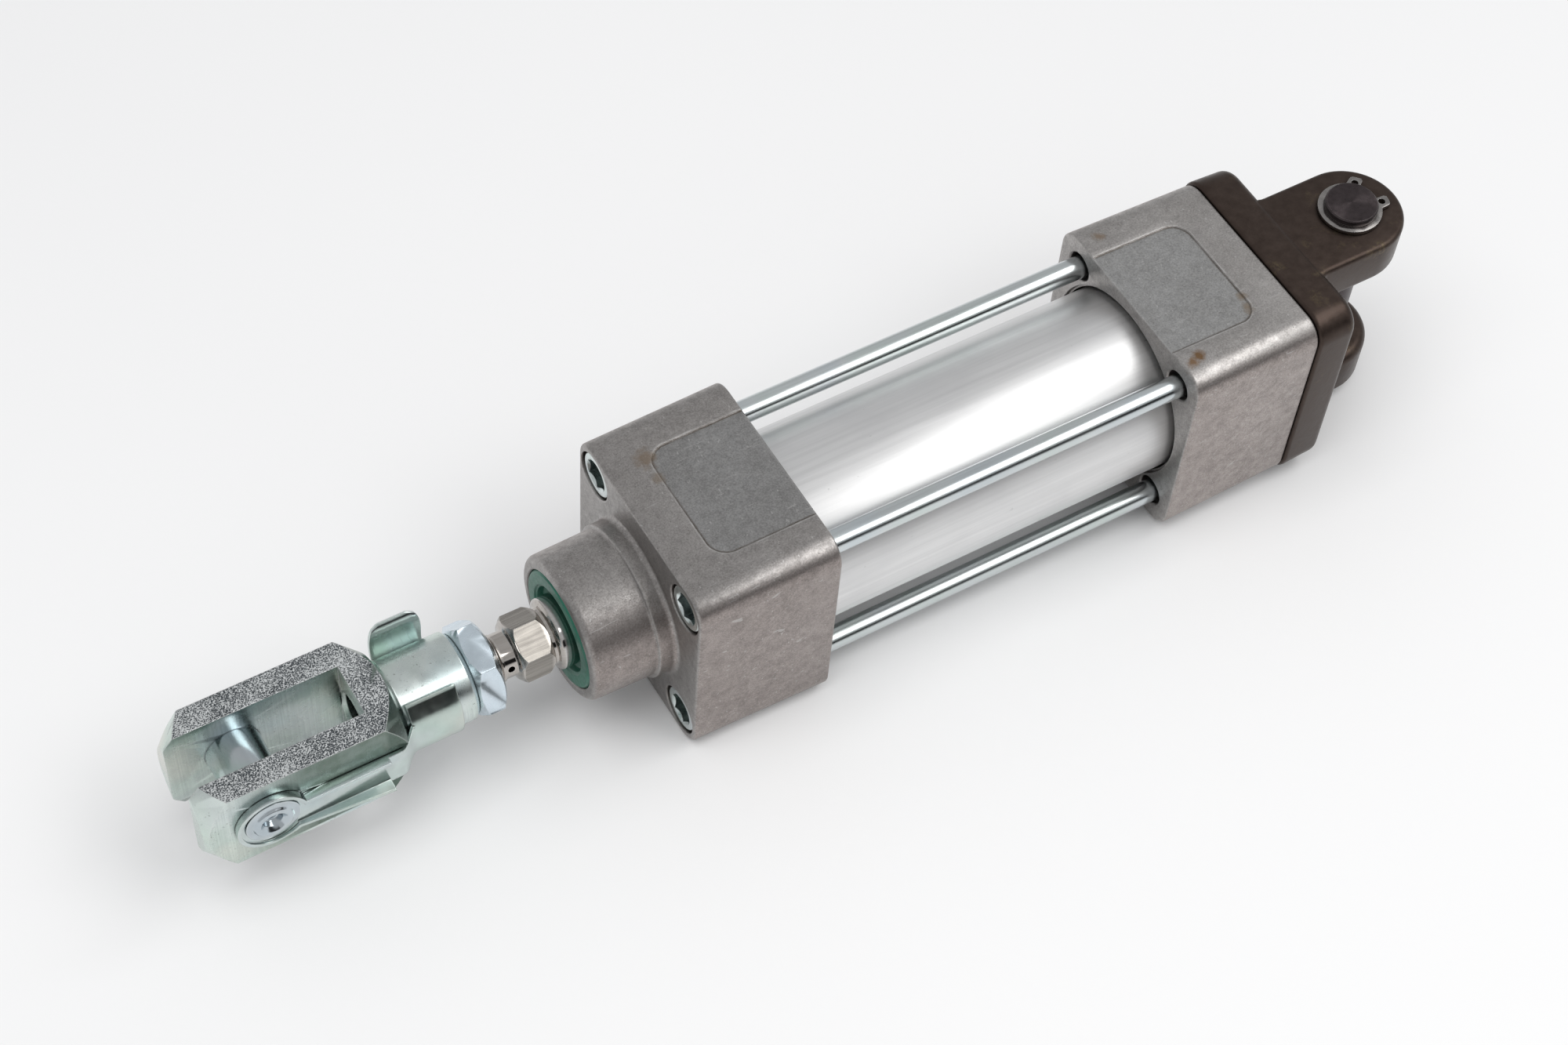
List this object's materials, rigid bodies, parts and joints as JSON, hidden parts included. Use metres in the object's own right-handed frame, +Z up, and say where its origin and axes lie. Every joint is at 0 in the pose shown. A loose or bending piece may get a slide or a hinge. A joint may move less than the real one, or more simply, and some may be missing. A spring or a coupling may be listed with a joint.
{
  "type": "pneumatic cylinder",
  "caption": "Compact double-acting tie-rod pneumatic cylinder with a threaded rod fork and clip pin at the front and a pinned clevis at the rear.",
  "frame": {"origin": "centre of the front cap's mounting face, on the rod axis", "axes": "+X along the rod axis from the rod end to the rear clevis, so the rod moves out towards -X; +Z up, parallel to the rear clevis pin; +Y towards the side with the two ports"},
  "size_m": [0.2972, 0.0524, 0.0566],
  "materials": {
    "cast_alloy": "die-cast aluminium, tumbled and clear-passivated, slightly warm grey",
    "cast_alloy_rear": "die-cast aluminium, tumbled and clear-passivated, slightly warm grey",
    "tube_alloy": "drawn tube, clear anodised satin",
    "tie_steel": "drawn steel, bright zinc",
    "nut_steel": "turned steel, bright zinc",
    "seal_green": "green polyurethane, satin",
    "bearing_bronze": "sintered bronze",
    "seal_black": "black nitrile rubber",
    "screw_brass": "turned brass",
    "clevis_coat": "cast iron, dark brown-black coat, satin with rubbed edges",
    "screw_steel": "blackened steel",
    "pin_steel": "turned steel, dull",
    "ring_steel": "phosphated spring steel",
    "piston_alloy": "turned aluminium",
    "magnet": "plastic-bonded ferrite",
    "guide_plastic": "acetal",
    "rod_chrome": "hard chrome, polished",
    "nut_zinc": "zinc plated, bluish",
    "fork_zinc": "zinc plated, milled and blasted faces",
    "clip_zinc": "zinc plated spring sheet"
  },
  "bodies": {
    "housing": {"front_cap": "cast_alloy", "rear_cap": "cast_alloy_rear", "barrel_tube": "tube_alloy", "tie_rods": "tie_steel", "tie_rod_nuts_front": "nut_steel", "tie_rod_nuts_rear": "nut_steel", "rod_wiper_seal": "seal_green", "rod_bearing_bush": "bearing_bronze", "barrel_oring_front": "seal_black", "barrel_oring_rear": "seal_black", "cushion_seal_front": "seal_black", "cushion_seal_rear": "seal_black", "rear_clevis": "clevis_coat", "clevis_screws": "screw_steel"},
    "screw_front": {"cushion_screw_front": "screw_brass"},
    "screw_rear": {"cushion_screw_rear": "screw_brass"},
    "rear_pin": {"rear_clevis_pin": "pin_steel", "pin_circlips": "ring_steel"},
    "piston_rings": {"piston_guide_ring": "guide_plastic", "piston_seal_front": "seal_black", "piston_seal_rear": "seal_black"},
    "rod": {"piston_half_front": "piston_alloy", "piston_half_rear": "piston_alloy", "piston_magnet": "magnet", "cushion_sleeve_front": "piston_alloy", "cushion_sleeve_rear": "piston_alloy", "piston_nut": "nut_steel", "piston_rod": "rod_chrome", "rod_jam_nut": "nut_zinc", "fork_clevis": "fork_zinc"},
    "fork_clip": {"fork_pin": "nut_zinc", "clip_spring": "clip_zinc"}
  },
  "joints": [
    {"name": "rod_slide", "type": "slide", "parent": "housing", "child": "piston_rings", "axis": [-1, 0, 0], "range_m": [0, 0.05]},
    {"name": "rod_turn", "type": "hinge", "parent": "piston_rings", "child": "rod", "pos_m": [0, 0, 0], "axis": [1, 0, 0], "continuous": true},
    {"name": "clip_swing", "type": "hinge", "parent": "rod", "child": "fork_clip", "pos_m": [-0.0893, 0, 0], "axis": [0, 1, 0], "range_deg": [0, 120], "deforming": ["clip_spring"]},
    {"name": "rear_pin_turn", "type": "hinge", "parent": "housing", "child": "rear_pin", "pos_m": [0.1815, 0, 0], "axis": [0, 0, 1], "continuous": true},
    {"name": "cushion_screw_front_turn", "type": "hinge", "parent": "housing", "child": "screw_front", "pos_m": [0.024, 0, -0.011], "axis": [0, 1, 0], "range_deg": [0, 360]},
    {"name": "cushion_screw_rear_turn", "type": "hinge", "parent": "housing", "child": "screw_rear", "pos_m": [0.131, 0, -0.011], "axis": [0, 1, 0], "range_deg": [0, 360]}
  ]
}
